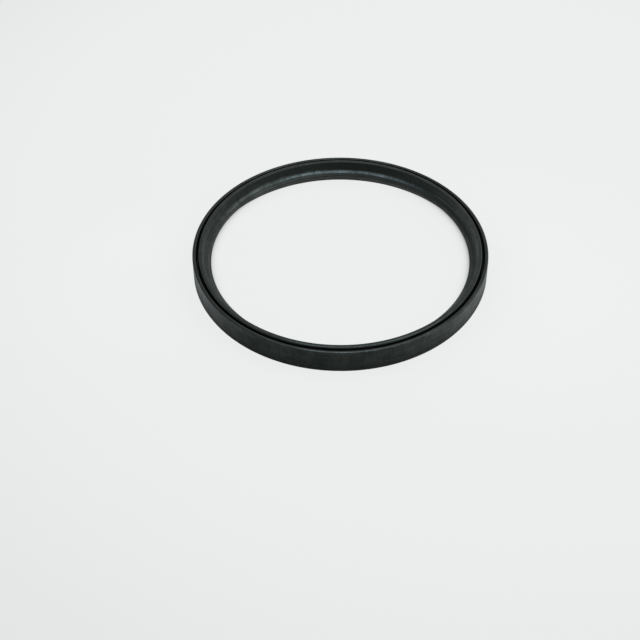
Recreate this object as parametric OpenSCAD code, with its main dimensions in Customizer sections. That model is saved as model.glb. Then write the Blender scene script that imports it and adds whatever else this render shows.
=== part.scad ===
// Lipped ring seal, moulded in one piece of rubber.
// It stands flat on its foot, which is the plane z = 0, and turns about the z axis.
// The section has a straight outer wall that ends in a thin rim, a narrow groove in the top face,
// and an upright lip whose inner face leans in, flares and turns down over a blunt nose.

/* [Ring] */
// Outer diameter, across the straight outer wall
outer_d = 100; // [40:0.5:300]
// Overall height, from the foot to the top of the lip
height = 8.9; // [8:0.1:14]

/* [Top face] */
// Thickness of the outer rim
rim_w = 1.2; // [0.9:0.05:2]
// How far the rim stops short of the top of the lip
rim_drop = 0.3; // [0:0.05:1.5]
// Width of the groove between the rim and the lip
groove_w = 0.85; // [0.5:0.05:2.5]
// Depth of the groove below the rim, to where its round bottom starts
groove_depth = 3.7; // [1:0.1:4.5]
// Thickness of the lip at its flat top
lip_w = 1.35; // [1:0.05:2]

/* [Inner side] */
// How far the inner face leans in below the top of the lip
face_lean = 0.95; // [0.3:0.05:1.5]
// Radial width of the flare
flare_w = 1; // [0.5:0.05:2]
// Height of the flare
flare_h = 0.3; // [0.1:0.05:1]
// Share of the flare that its two roundings take up, half of it each
flare_blend = 0.95; // [0.2:0.05:0.95]
// Radial width of the nose, from the flare to the land
nose_w = 0.8; // [0.5:0.05:1.5]
// Height of the nose, from the flare to the land
nose_h = 0.85; // [0.6:0.05:1.8]
// Height of the land, the short straight wall round the hole
land_h = 0.4; // [0.3:0.05:1]

/* [Underside] */
// Height of the relief under the land
relief_h = 4.5; // [1:0.1:5.2]
// Width of the foot that the ring stands on
foot_w = 2.4; // [1.5:0.1:3]

/* [Edges] */
// Radius on the outer edge of the foot
foot_r = 0.9; // [0.1:0.05:1.2]
// Radius on the outer edge of the rim
rim_out_r = 0.5; // [0.1:0.05:0.6]
// Radius on the rim's edge over the groove
rim_in_r = 0.3; // [0.05:0.05:0.5]
// Radius on the lip's edge over the groove
lip_out_r = 0.5; // [0.1:0.05:0.8]
// Radius on the lip's inner edge
lip_in_r = 0.1; // [0.05:0.05:0.6]
// Radius on the two edges of the land
land_r = 0.1; // [0.05:0.05:0.3]

/* [Hidden] */

// flat facets to a full turn, of a small rounding and of the whole ring
rounding_facets = 64;
ring_facets = 360;

// how much larger an arc is than one that only touches its two edges, so that it crosses them
seam = 0.0005;

// radii, worked out from the outer wall inwards
wall_x = outer_d/2;
rim_x = wall_x - rim_w;
lip_out_x = rim_x - groove_w;
lip_in_x = lip_out_x - lip_w;
hollow_x = lip_in_x - face_lean;
brow_x = hollow_x - flare_w;
land_x = brow_x - nose_w;
foot_x = wall_x - foot_w;

// heights above the foot
rim_z = height - rim_drop;
groove_z = rim_z - groove_depth;
land_top_z = relief_h + land_h;
brow_z = land_top_z + nose_h;
hollow_z = brow_z + flare_h;

// the three slopes of the inner side, from the top down
face = [face_lean, height - hollow_z];
flare = [flare_w, flare_h];
nose = [nose_w, nose_h];

// the hollow above the flare and the brow below it each take their part of its length
flare_part = flare_blend*norm(flare)/2;
function turn(a, b) = acos(a*b/(norm(a)*norm(b)));
hollow_r = flare_part/tan(turn(face, flare)/2);
brow_r = flare_part/tan(turn(flare, nose)/2);

// corners of the section as [radius, height, corner radius], anticlockwise
corners = [
    [wall_x, 0, foot_r],
    [wall_x, rim_z, rim_out_r],
    [rim_x, rim_z, rim_in_r],
    [rim_x, groove_z, 0],
    [lip_out_x, groove_z, 0],
    [lip_out_x, height, lip_out_r],
    [lip_in_x, height, lip_in_r],
    [hollow_x, hollow_z, hollow_r],
    [brow_x, brow_z, brow_r],
    [land_x, land_top_z, land_r],
    [land_x, relief_h, land_r],
    [foot_x, 0, 0]
];

function radius(i) = corners[i][2];
function point(i) = let (c = corners[(i + len(corners)) % len(corners)]) [c.x, c.y];
function unit(v) = v/norm(v);
function back(i) = unit(point(i - 1) - point(i));
function ahead(i) = unit(point(i + 1) - point(i));
// half of the angle between the two edges that meet in a corner
function half_angle(i) = acos(back(i)*ahead(i))/2;
// length from a corner to where its arc starts
function setback(i) = radius(i)/tan(half_angle(i));
function arc_start(i) = point(i) + back(i)*setback(i);
function arc_end(i) = point(i) + ahead(i)*setback(i);
function arc_centre(i) = point(i) + unit(back(i) + ahead(i))*radius(i)/sin(half_angle(i));
// a corner turns left where it is convex
function is_convex(i) = cross(-back(i), ahead(i)) > 0;

// the outline, with a straight cut across each rounded corner that is concave
module outline() {
    polygon([
        for (i = [0 : len(corners) - 1])
            each radius(i) > 0 && !is_convex(i) ? [arc_start(i), arc_end(i)] : [point(i)]
    ]);
}

module arc_circle(i) {
    translate(arc_centre(i)) circle(r = radius(i) + seam, $fn = rounding_facets);
}

// what a rounding takes off: the tip of a convex corner, or the whole circle in a concave one
module rounding(i) {
    start = arc_start(i);
    end = arc_end(i);
    out = point(i) - (start + end)/2;
    if (is_convex(i))
        difference() {
            polygon([start, start + 2*out, end + 2*out, end]);
            arc_circle(i);
        }
    else
        arc_circle(i);
}

module section() {
    difference() {
        outline();
        for (i = [0 : len(corners) - 1])
            if (radius(i) > 0)
                rounding(i);
        // round bottom of the groove
        translate([(rim_x + lip_out_x)/2, groove_z]) circle(d = groove_w, $fn = rounding_facets);
    }
}

module seal_ring() {
    color("#262b2a") rotate_extrude($fn = ring_facets) section();
}

seal_ring();
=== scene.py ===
import bpy
import bmesh
import math
from mathutils import Euler, Matrix, Vector


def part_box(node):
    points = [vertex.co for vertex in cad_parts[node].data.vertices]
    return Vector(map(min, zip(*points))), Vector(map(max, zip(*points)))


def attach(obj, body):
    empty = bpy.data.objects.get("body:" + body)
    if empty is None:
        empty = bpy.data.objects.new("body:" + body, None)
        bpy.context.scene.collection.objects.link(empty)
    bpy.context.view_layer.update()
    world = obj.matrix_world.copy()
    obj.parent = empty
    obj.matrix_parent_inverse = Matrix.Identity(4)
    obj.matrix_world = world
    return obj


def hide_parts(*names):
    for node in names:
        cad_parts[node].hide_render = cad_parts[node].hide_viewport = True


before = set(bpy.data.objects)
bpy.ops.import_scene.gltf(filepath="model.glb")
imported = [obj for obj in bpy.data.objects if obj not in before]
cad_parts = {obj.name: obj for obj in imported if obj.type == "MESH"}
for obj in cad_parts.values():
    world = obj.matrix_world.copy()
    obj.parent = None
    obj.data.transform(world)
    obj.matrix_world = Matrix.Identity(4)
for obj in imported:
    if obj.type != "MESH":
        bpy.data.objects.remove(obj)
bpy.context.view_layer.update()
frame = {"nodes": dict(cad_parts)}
print("frame loaded:", ", ".join(frame["nodes"]))

mm = 0.001


def linear(hexColour):
    channels = [int(hexColour[i:i + 2], 16) / 255 for i in (1, 3, 5)]
    return [c / 12.92 if c <= 0.04045 else ((c + 0.055) / 1.055) ** 2.4 for c in channels] + [1]


def addNode(tree, kind, inputs=(), **settings):
    # settings are the node's own properties; inputs go by name, or in a list by place, and each is a plain
    # value, an output, or a node that stands for its first output
    node = tree.nodes.new("ShaderNode" + kind)
    for name, value in settings.items():
        setattr(node, name, value)
    for name, value in inputs.items() if isinstance(inputs, dict) else enumerate(inputs):
        if isinstance(value, bpy.types.Node):
            value = value.outputs[0]
        if isinstance(value, bpy.types.NodeSocket):
            tree.links.new(value, node.inputs[name])
        else:
            node.inputs[name].default_value = value
    return node


def newMaterial(name):
    material = bpy.data.materials.new(name)
    material.use_nodes = True
    return material, material.node_tree, material.node_tree.nodes["Principled BSDF"]


# camera: a short telephoto that looks down on the ring from the front
view = {
    "lens": 75,                      # mm, on a sensor 36 mm wide
    "sensor": 36,
    "pictureSide": 640,              # px, the picture is square
    "ringPixel": (340.08, 266.27),   # where the middle of the ring's foot falls, px from the top left corner
    "lookDown": 44.35,               # degrees below the horizon
    "roll": -0.575,                  # degrees
    "distance": 457.6,               # mm, from the lens to the middle of the foot
}


def placeCamera(view):
    data = bpy.data.cameras.new("photoCamera")
    data.lens = view["lens"]
    data.sensor_width = view["sensor"]
    data.clip_start = 10 * mm
    data.clip_end = 50000 * mm
    camera = bpy.data.objects.new("photoCamera", data)
    bpy.context.scene.collection.objects.link(camera)
    turn = Euler((math.radians(90 - view["lookDown"]), 0, 0)).to_matrix()
    turn = turn @ Matrix.Rotation(math.radians(view["roll"]), 3, "Z")
    middle = view["pictureSide"] / 2
    focal = view["lens"] / view["sensor"] * view["pictureSide"]
    aside = view["ringPixel"][0] - middle
    below = view["ringPixel"][1] - middle
    towardsRing = (turn @ Vector((aside, -below, -focal))).normalized()
    camera.matrix_world = Matrix.Translation(-towardsRing * view["distance"] * mm) @ turn.to_4x4()
    bpy.context.scene.camera = camera


placeCamera(view)
print("camera placed")


# the ring: one moulding, swept round the axis from its section; sizes in mm, with the outer size and the
# height from the frame
ring = {
    "rimWidth": 1.2,
    "rimDrop": 0.3,
    "grooveWidth": 0.85,
    "grooveDepth": 3.7,     # to where its round bottom starts
    "lipWidth": 1.35,
    "faceLean": 0.95,
    "flareWidth": 1,
    "flareHeight": 0.3,
    "flareBlend": 0.95,     # share of the flare that its two roundings take up
    "noseWidth": 0.8,
    "noseHeight": 0.85,
    "landHeight": 0.4,
    "reliefHeight": 4.5,
    "footWidth": 2.4,
    "footRadius": 0.9,
    "rimOutRadius": 0.5,
    "rimInRadius": 0.3,
    "lipOutRadius": 0.5,
    "lipInRadius": 0.1,
    "landRadius": 0.1,
    "stepsRound": 720,
    "arcStep": 12,          # degrees between the points of an arc
    "straightStep": 0.45,   # mm between the points of a straight stretch
}


def sectionCorners(ring, wallRadius, height):
    rimIn = wallRadius - ring["rimWidth"]
    lipOut = rimIn - ring["grooveWidth"]
    lipIn = lipOut - ring["lipWidth"]
    hollow = lipIn - ring["faceLean"]
    brow = hollow - ring["flareWidth"]
    land = brow - ring["noseWidth"]
    foot = wallRadius - ring["footWidth"]
    rimTop = height - ring["rimDrop"]
    grooveFloor = rimTop - ring["grooveDepth"] - ring["grooveWidth"] / 2
    grooveRound = ring["grooveWidth"] / 2 * 0.999    # a hair less, so that its two arcs don't meet
    landTop = ring["reliefHeight"] + ring["landHeight"]
    browTop = landTop + ring["noseHeight"]
    hollowTop = browTop + ring["flareHeight"]
    # radius, height, rounding, and how much handling has rubbed the corner, most where the ring stands;
    # the two roundings of the flare are worked out below
    corners = [
        [wallRadius, 0, ring["footRadius"], 1.0],
        [wallRadius, rimTop, ring["rimOutRadius"], 0.2],
        [rimIn, rimTop, ring["rimInRadius"], 0.3],
        [rimIn, grooveFloor, grooveRound, 0],
        [lipOut, grooveFloor, grooveRound, 0],
        [lipOut, height, ring["lipOutRadius"], 0.3],
        [lipIn, height, ring["lipInRadius"], 0.4],
        [hollow, hollowTop, None, 0],
        [brow, browTop, None, 0.2],
        [land, landTop, ring["landRadius"], 0.4],
        [land, ring["reliefHeight"], ring["landRadius"], 0.3],
        [foot, 0, 0, 0.2],
    ]
    part = ring["flareBlend"] * math.hypot(ring["flareWidth"], ring["flareHeight"]) / 2
    for i, corner in enumerate(corners):
        if corner[2] is None:
            back, ahead = directions(corners, i)
            corner[2] = part * math.tan(back.angle(ahead) / 2)
    return corners


def directions(corners, i):
    here = Vector(corners[i][:2])
    back = Vector(corners[i - 1][:2]) - here
    ahead = Vector(corners[(i + 1) % len(corners)][:2]) - here
    return back.normalized(), ahead.normalized()


def sectionPoints(ring, corners):
    # goes round the section and turns each corner on its own arc
    points = []
    for i in range(len(corners)):
        here = Vector(corners[i][:2])
        back, ahead = directions(corners, i)
        rounding, wear = corners[i][2:]
        if rounding == 0:
            points.append((here, wear))
            continue
        half = back.angle(ahead) / 2
        centre = here + (back + ahead).normalized() * rounding / math.sin(half)
        start = here + back * rounding / math.tan(half) - centre
        sweep = math.pi - 2 * half
        side = 1 if ahead.x * back.y - ahead.y * back.x > 0 else -1    # left round a convex corner
        steps = max(2, math.ceil(math.degrees(sweep) / ring["arcStep"]))
        for k in range(steps + 1):
            turned = Matrix.Rotation(side * sweep * k / steps, 2) @ start
            points.append((centre + turned, wear))
    return points


def splitLongStretches(ring, points):
    finer = []
    for (a, wearA), (b, wearB) in zip(points, points[1:] + points[:1]):
        finer.append((a, wearA))
        parts = int((b - a).length / ring["straightStep"])
        for k in range(1, parts):
            finer.append((a.lerp(b, k / parts), 0))
    return finer


def outerSize():
    # radius of the outer wall and height of the ring, in mm
    low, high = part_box("seal_ring")
    return (high.x - low.x) / 2 / mm, (high.z - low.z) / mm


def buildRing(ring):
    section = splitLongStretches(ring, sectionPoints(ring, sectionCorners(ring, *outerSize())))
    mesh = bpy.data.meshes.new("sealRing")
    shape = bmesh.new()
    wearLayer = shape.verts.layers.float.new("edgeWear")
    rows = []
    for i in range(ring["stepsRound"]):
        angle = 2 * math.pi * i / ring["stepsRound"]
        row = []
        for point, wear in section:
            radius = point.x * mm
            vertex = shape.verts.new((radius * math.cos(angle), radius * math.sin(angle), point.y * mm))
            vertex[wearLayer] = wear
            row.append(vertex)
        rows.append(row)
    for row, following in zip(rows, rows[1:] + rows[:1]):
        for k in range(len(section)):
            n = (k + 1) % len(section)
            shape.faces.new((row[k], following[k], following[n], row[n]))
    bmesh.ops.recalc_face_normals(shape, faces=shape.faces)
    shape.to_mesh(mesh)
    shape.free()
    mesh.shade_smooth()
    piece = bpy.data.objects.new("sealRing", mesh)
    bpy.context.scene.collection.objects.link(piece)
    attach(piece, "root")
    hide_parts("seal_ring")
    print("ring built:", len(section), "points in the section,", len(mesh.polygons), "faces")
    return piece


# nitrile rubber, compression moulded in a turned steel mould and left as it came out: a green black satin,
# with faint rings from the mould's turning marks, streaks where the rubber flowed, a cloudy bloom, short
# pull marks, and edges that handling has rubbed paler and smoother
rubber = {
    "colour": "#0a0d0c",
    "bloomColour": "#262a28",
    "wornColour": "#46423f",
    "dustColour": "#8f9694",
    "bloomShare": 0.5,                 # how far full bloom takes the colour to its own
    "wearShare": 0.55,                 # the same for full wear
    "ior": 1.5,
    "specularTint": (0.88, 1, 0.97, 1),
    "specular": (0.8, 0.28),           # on the clean skin, and under full bloom
    "roughness": (0.23, 0.33),         # the same
    "markRoughness": 0.04,             # up and down from one turning mark to the next
    "wornRoughness": -0.06,
    "dustRoughness": 0.4,
    "turningMark": 0.45,               # mm apart; about 0.15 on the mould, drawn coarser so that they show
    "markLength": 50,                  # mm
    "markDepth": 0.006,                # mm
    "markRange": (0.3, 0.7),           # of the noise that is used
    "streak": 0.9,                     # mm across
    "streakLength": 12,                # mm
    "grain": 0.25,                     # mm, the skin of the mould, drawn coarser so that it shows
    "grainDepth": 0.006,               # mm
    "bloomPatch": 4,                   # mm across
    "pullMark": 1.2,                   # mm across
    "pullTallness": 4,                 # times its width
    "cloudBloom": (0.4, 0.6, 0.5),     # the part of the clouds that shows, and how much bloom it gives
    "pullBloom": (0.42, 0.62, 0.3),
    "streakBloom": (0.4, 0.6, 0.5),
    "wearBreaks": (0.3, 0.6, 0.4, 1),  # the part of the pull marks that breaks up the wear, and what it leaves
    "dustSpacing": 1.8,                # mm
    "dustSize": 0.09,                  # mm
    "dustShare": 0.12,                 # share of the spaces that hold a speck
}


def drawnRound(tree, across, along, wallRadius):
    # noise drawn out round the ring, sizes in mm
    parts = addNode(tree, "SeparateXYZ", [addNode(tree, "TexCoord").outputs["Object"]]).outputs
    flat = addNode(tree, "CombineXYZ", [parts["X"], parts["Y"]])
    radius = addNode(tree, "VectorMath", [flat], operation="LENGTH").outputs["Value"]
    facing = addNode(tree, "VectorMath", [flat], operation="NORMALIZE")
    facing = addNode(tree, "SeparateXYZ", [facing]).outputs
    perAcross = 1 / (across * mm)
    perTurn = wallRadius / along
    spot = addNode(tree, "CombineXYZ", [radius, parts["Z"], facing["X"]])
    spot = addNode(tree, "VectorMath", [spot, (perAcross, perAcross, perTurn)], operation="MULTIPLY")
    fourth = addNode(tree, "Math", [facing["Y"], perTurn], operation="MULTIPLY")
    inputs = {"Vector": spot, "W": fourth, "Scale": 1, "Roughness": 0.6}
    return addNode(tree, "TexNoise", inputs, noise_dimensions="4D")


def dustSpecks(tree, rubber, place):
    cells = addNode(tree, "TexVoronoi", {"Vector": place, "Scale": 1 / (rubber["dustSpacing"] * mm)}).outputs
    chance = addNode(tree, "SeparateXYZ", [cells["Color"]])
    chosen = addNode(tree, "Math", [chance, rubber["dustShare"]], operation="LESS_THAN")
    size = rubber["dustSize"] / rubber["dustSpacing"]
    speck = addNode(tree, "Math", [cells["Distance"], size], operation="LESS_THAN")
    return addNode(tree, "Math", [speck, chosen], operation="MULTIPLY")


def rubberMaterial(rubber, wallRadius):
    material, tree, shader = newMaterial("nitrileRubber")
    place = addNode(tree, "TexCoord").outputs["Object"]
    marks = drawnRound(tree, rubber["turningMark"], rubber["markLength"], wallRadius)
    streaks = drawnRound(tree, rubber["streak"], rubber["streakLength"], wallRadius)
    grain = addNode(tree, "TexNoise", {
        "Vector": place, "Scale": 1 / (rubber["grain"] * mm), "Roughness": 0.6})
    clouds = addNode(tree, "TexNoise", {
        "Vector": place, "Scale": 1 / (rubber["bloomPatch"] * mm), "Detail": 3, "Roughness": 0.55})
    upright = addNode(tree, "Mapping", {"Vector": place, "Scale": (1, 1, 1 / rubber["pullTallness"])})
    pulls = addNode(tree, "TexNoise", {
        "Vector": upright, "Scale": 1 / (rubber["pullMark"] * mm), "Detail": 3, "Roughness": 0.6})
    dust = dustSpecks(tree, rubber, place)

    bloom = 0
    for pattern, kind in ((clouds, "cloudBloom"), (pulls, "pullBloom"), (streaks, "streakBloom")):
        low, high, amount = rubber[kind]
        added = addNode(tree, "MapRange", [pattern, low, high, 0, amount])
        bloom = addNode(tree, "Math", [bloom, added], operation="ADD")
    wear = addNode(tree, "Attribute", attribute_name="edgeWear").outputs["Fac"]
    left = addNode(tree, "MapRange", [pulls, *rubber["wearBreaks"]])
    worn = addNode(tree, "Math", [wear, left], operation="MULTIPLY")

    bloomCover = addNode(tree, "Math", [bloom, rubber["bloomShare"]], operation="MULTIPLY")
    wornCover = addNode(tree, "Math", [worn, rubber["wearShare"]], operation="MULTIPLY")
    # a colour Mix takes its share in socket 0 and its colours in 6 and 7, and gives its result in output 2
    colour = linear(rubber["colour"])
    for cover, over in ((bloomCover, "bloomColour"), (wornCover, "wornColour"), (dust, "dustColour")):
        layer = addNode(tree, "Mix", {0: cover, 6: colour, 7: linear(rubber[over])}, data_type="RGBA")
        colour = layer.outputs[2]
    tree.links.new(colour, shader.inputs["Base Color"])

    unevenness = addNode(tree, "MapRange", [marks, *rubber["markRange"], -1, 1])
    rough = addNode(tree, "MapRange", [bloom, 0, 1, *rubber["roughness"]])
    for pattern, change in ((unevenness, "markRoughness"), (worn, "wornRoughness"), (dust, "dustRoughness")):
        rough = addNode(tree, "Math", [pattern, rubber[change], rough], operation="MULTIPLY_ADD")
    tree.links.new(rough.outputs[0], shader.inputs["Roughness"])
    shine = addNode(tree, "MapRange", [bloom, 0, 1, *rubber["specular"]])
    tree.links.new(shine.outputs[0], shader.inputs["Specular IOR Level"])
    shader.inputs["Specular Tint"].default_value = rubber["specularTint"]
    shader.inputs["IOR"].default_value = rubber["ior"]

    bump = addNode(tree, "Bump", {"Height": marks, "Distance": rubber["markDepth"] * mm})
    bump = addNode(tree, "Bump", {"Height": grain, "Distance": rubber["grainDepth"] * mm, "Normal": bump})
    tree.links.new(bump.outputs["Normal"], shader.inputs["Normal"])
    return material


sealRing = buildRing(ring)
sealRing.data.materials.append(rubberMaterial(rubber, outerSize()[0]))
print("rubber made")


# floor: painted board, rolled on and matt, so that it mirrors nothing sharp; pools of light are painted into
# its colour on both sides outside the ring, painted shade darkens it at the outer wall and a painted shadow
# lies inside the hole, and the camera sees mostly a white of its own in its place, so that shadows stay as
# faint as in the photograph
floor = {
    "colours": ("#adaeab", "#f9f9f5"),       # of the board, and in the painted pools of light
    "whitesSeen": ("#f5f6f6", "#f0f1f1"),    # what the camera sees in its place, and in the painted pools of light
    "roughness": 0.6,
    "specular": 0.2,
    "paintedPools": [                    # mm: where each painted pool of light lies, full up to the third value from there and gone at the fourth
        (65, -10, 20, 75),
        (-66, -8, 22, 50),
    ],
    "brightest": (60, 60),        # mm from the middle of the ring; the white falls off from there, a painted fall-off of light
    "fallOff": 300,               # mm to where it has lost all of the next value
    "fallDepth": 0.18,
    "fallPower": 4,               # the higher, the later it falls
    "shadeDepth": 0.8,            # painted shade: how dark the board's colour is made at the outer wall, which mirrors it and so darkens
    "shadeFade": 3.5,             # mm over which that shade goes
    "contactDepth": 0.65,         # how much of the white goes in the painted shadow under the nose, inside the hole
    "contactMiddle": (0, 5),      # mm; that shadow lies further back than the hole
    "contactWider": 0.75,         # mm, and reaches under its edge
    "contactFade": 0.8,           # mm
    "contactAside": (0, 40),      # mm to the side over which it comes up
    "contactBack": (-25, 0),      # mm to the back over which it comes up
    "shareSeen": 0.89,            # of the camera's view of the floor that is its white
    "shareOverShade": 0.06,       # more of it over the painted shade in a pool, which the photograph's floor doesn't show
    "shareMirrored": 0.1,         # the same for what shines in the rubber
    "side": 6,                    # m
}


def fadeFromCircle(tree, spot, middle, radius, fade):
    # one at the circle, falling off over so many mm outside it, or inside it where the fade is negative
    distance = addNode(tree, "VectorMath", [spot, (*middle, 0)], operation="DISTANCE").outputs["Value"]
    steps = addNode(tree, "Math", [distance, -1 / fade, radius / fade], operation="MULTIPLY_ADD")
    near = addNode(tree, "Math", [steps], operation="EXPONENT")
    return addNode(tree, "Math", [near, 1], operation="MINIMUM")


def paintedContactShadow(tree, floor, spot, holeRadius):
    # a painted shadow: the white thins in a drawn circle, so that the board's own shading shows; it comes up
    # to the sides and to the back, and there is none at the front
    circle = holeRadius + floor["contactWider"]
    near = fadeFromCircle(tree, spot, floor["contactMiddle"], circle, -floor["contactFade"])
    shadow = addNode(tree, "Math", [near, floor["contactDepth"]], operation="MULTIPLY")
    parts = addNode(tree, "SeparateXYZ", [spot]).outputs
    aside = addNode(tree, "Math", [parts["X"]], operation="ABSOLUTE")
    for position, name in ((aside, "contactAside"), (parts["Y"], "contactBack")):
        rise = addNode(tree, "MapRange", [position, *floor[name]], interpolation_type="SMOOTHSTEP")
        shadow = addNode(tree, "Math", [shadow, rise], operation="MULTIPLY")
    return shadow


# painted light: pools where the board's colour is made paler
def paintedPoolsOfLight(tree, floor, spot):
    brightness = 0
    for x, y, full, gone in floor["paintedPools"]:
        distance = addNode(tree, "VectorMath", [spot, (x, y, 0)], operation="DISTANCE").outputs["Value"]
        pool = addNode(tree, "MapRange", [distance, gone, full], interpolation_type="SMOOTHSTEP")
        brightness = addNode(tree, "Math", [brightness, pool], operation="MAXIMUM")
    return brightness


def whiteOfFloor(tree, floor, spot, colour):
    # painted light: a glow of its own that weakens with the distance from the brightest spot
    away = addNode(tree, "VectorMath", [spot, (*floor["brightest"], 0)], operation="DISTANCE").outputs["Value"]
    away = addNode(tree, "Math", [away, floor["fallOff"]], operation="DIVIDE")
    fall = addNode(tree, "Math", [away, floor["fallPower"]], operation="POWER")
    fall = addNode(tree, "Math", [fall, 1], operation="MINIMUM")
    strength = addNode(tree, "Math", [fall, -floor["fallDepth"], 1], operation="MULTIPLY_ADD")
    return addNode(tree, "Emission", {"Color": colour, "Strength": strength})


def boardMaterial(floor, holeRadius, wallRadius):
    material, tree, shader = newMaterial("paintedBoard")
    place = addNode(tree, "TexCoord").outputs["Object"]
    spot = addNode(tree, "VectorMath", {0: place, "Scale": 1 / mm}, operation="SCALE")
    fromMiddle = addNode(tree, "VectorMath", [spot], operation="LENGTH").outputs["Value"]
    outside = addNode(tree, "Math", [fromMiddle, wallRadius], operation="GREATER_THAN")
    inside = addNode(tree, "Math", [1, outside], operation="SUBTRACT")
    contact = paintedContactShadow(tree, floor, spot, holeRadius)
    contact = addNode(tree, "Math", [contact, inside], operation="MULTIPLY")
    # painted shade: the board's colour darkens close to the outer wall
    paintedShade = fadeFromCircle(tree, spot, (0, 0), wallRadius, floor["shadeFade"])
    paintedShade = addNode(tree, "Math", [paintedShade, outside], operation="MULTIPLY")
    paintedPools = addNode(tree, "Math", [paintedPoolsOfLight(tree, floor, spot), outside], operation="MULTIPLY")

    colour, whiteSeen = [
        addNode(tree, "Mix", {0: paintedPools, 6: linear(dull), 7: linear(bright)}, data_type="RGBA").outputs[2]
        for dull, bright in (floor["colours"], floor["whitesSeen"])]
    unshaded = addNode(tree, "Math", [paintedShade, -floor["shadeDepth"], 1], operation="MULTIPLY_ADD")
    colour = addNode(tree, "VectorMath", {0: colour, "Scale": unshaded}, operation="SCALE")
    tree.links.new(colour.outputs[0], shader.inputs["Base Color"])
    shader.inputs["Roughness"].default_value = floor["roughness"]
    shader.inputs["Specular IOR Level"].default_value = floor["specular"]

    white = whiteOfFloor(tree, floor, spot, whiteSeen)
    ray = addNode(tree, "LightPath").outputs
    mirrored = addNode(tree, "Math", [ray["Is Glossy Ray"], ray["Is Transmission Ray"]], operation="MAXIMUM")
    shadedPool = addNode(tree, "Math", [paintedShade, paintedPools], operation="MULTIPLY")
    seen = addNode(tree, "Math", [contact, -floor["shareSeen"], floor["shareSeen"]], operation="MULTIPLY_ADD")
    seen = addNode(tree, "Math", [shadedPool, floor["shareOverShade"], seen], operation="MULTIPLY_ADD")
    seen = addNode(tree, "Math", [seen, ray["Is Camera Ray"]], operation="MULTIPLY")
    share = addNode(tree, "Math", [mirrored, floor["shareMirrored"], seen], operation="MULTIPLY_ADD")
    mix = addNode(tree, "MixShader", [share, shader, white])
    tree.links.new(mix.outputs[0], tree.nodes["Material Output"].inputs["Surface"])
    return material


def buildFloor(floor, holeRadius, wallRadius):
    mesh = bpy.data.meshes.new("floorBoard")
    reach = floor["side"] / 2
    corners = [(-reach, -reach, 0), (reach, -reach, 0), (reach, reach, 0), (-reach, reach, 0)]
    mesh.from_pydata(corners, [], [(0, 1, 2, 3)])
    mesh.materials.append(boardMaterial(floor, holeRadius, wallRadius))
    board = bpy.data.objects.new("floorBoard", mesh)
    bpy.context.scene.collection.objects.link(board)


# light: a dim room with soft bright patches on its walls, and one large soft lamp nearly overhead
light = {
    "patchColour": "#f9fffa",
    "patches": [                  # degrees round (0 right, 90 back), up and across, and the radiance
        (0, 8, 43, 0.71),
        (45, 8, 43, 0.75),
        (90, 8, 43, 0.85),
        (135, 8, 43, 0.4),
        (180, 8, 43, 1.0),
        (0, 33, 51, 0.37),
        (225, 33, 51, 0.3),
        (315, 33, 51, 1.15),
        (240, 60, 51, 0.24),
        (30, 55, 23, 2.15),
        (90, 55, 23, 0.7),
        (30, 75, 23, 1.5),
    ],
    "lampColour": "#dcedff",
    "lampAround": 90,
    "lampUp": 86,
    "lampAway": 400,              # mm
    "lampSide": 220,              # mm
    "lampRadiance": 3.8,          # 1 would be white paper's
}


def towards(around, up):
    around, up = math.radians(around), math.radians(up)
    return Vector((math.cos(up) * math.cos(around), math.cos(up) * math.sin(around), math.sin(up)))


def lightRoom(light):
    world = bpy.data.worlds.new("softRoom")
    world.use_nodes = True
    bpy.context.scene.world = world
    tree = world.node_tree
    direction = addNode(tree, "TexCoord").outputs["Generated"]
    colour = Vector(linear(light["patchColour"])[:3])
    total = (0, 0, 0)
    for around, up, across, radiance in light["patches"]:
        # falls to half at half of the patch's width
        tightness = math.log(2) / (1 - math.cos(math.radians(across / 2)))
        middle = towards(around, up)
        nearness = addNode(tree, "VectorMath", [direction, middle], operation="DOT_PRODUCT").outputs["Value"]
        power = addNode(tree, "Math", [nearness, tightness, -tightness], operation="MULTIPLY_ADD")
        glow = addNode(tree, "Math", [power], operation="EXPONENT")
        total = addNode(tree, "VectorMath", [glow, colour * radiance, total], operation="MULTIPLY_ADD")
    tree.links.new(total.outputs[0], tree.nodes["Background"].inputs["Color"])


def hangLamp(light):
    data = bpy.data.lights.new("softLamp", "AREA")
    data.size = light["lampSide"] * mm
    data.energy = light["lampRadiance"] * math.pi * data.size ** 2
    data.color = linear(light["lampColour"])[:3]
    lamp = bpy.data.objects.new("softLamp", data)
    away = towards(light["lampAround"], light["lampUp"])
    lamp.location = away * light["lampAway"] * mm
    lamp.rotation_mode = "QUATERNION"
    lamp.rotation_quaternion = away.to_track_quat("Z", "Y")
    bpy.context.scene.collection.objects.link(lamp)


radii = [corner[0] for corner in sectionCorners(ring, *outerSize())]
buildFloor(floor, min(radii), max(radii))
lightRoom(light)
hangLamp(light)
bpy.context.scene.view_settings.view_transform = "Standard"
print("floor and light set")
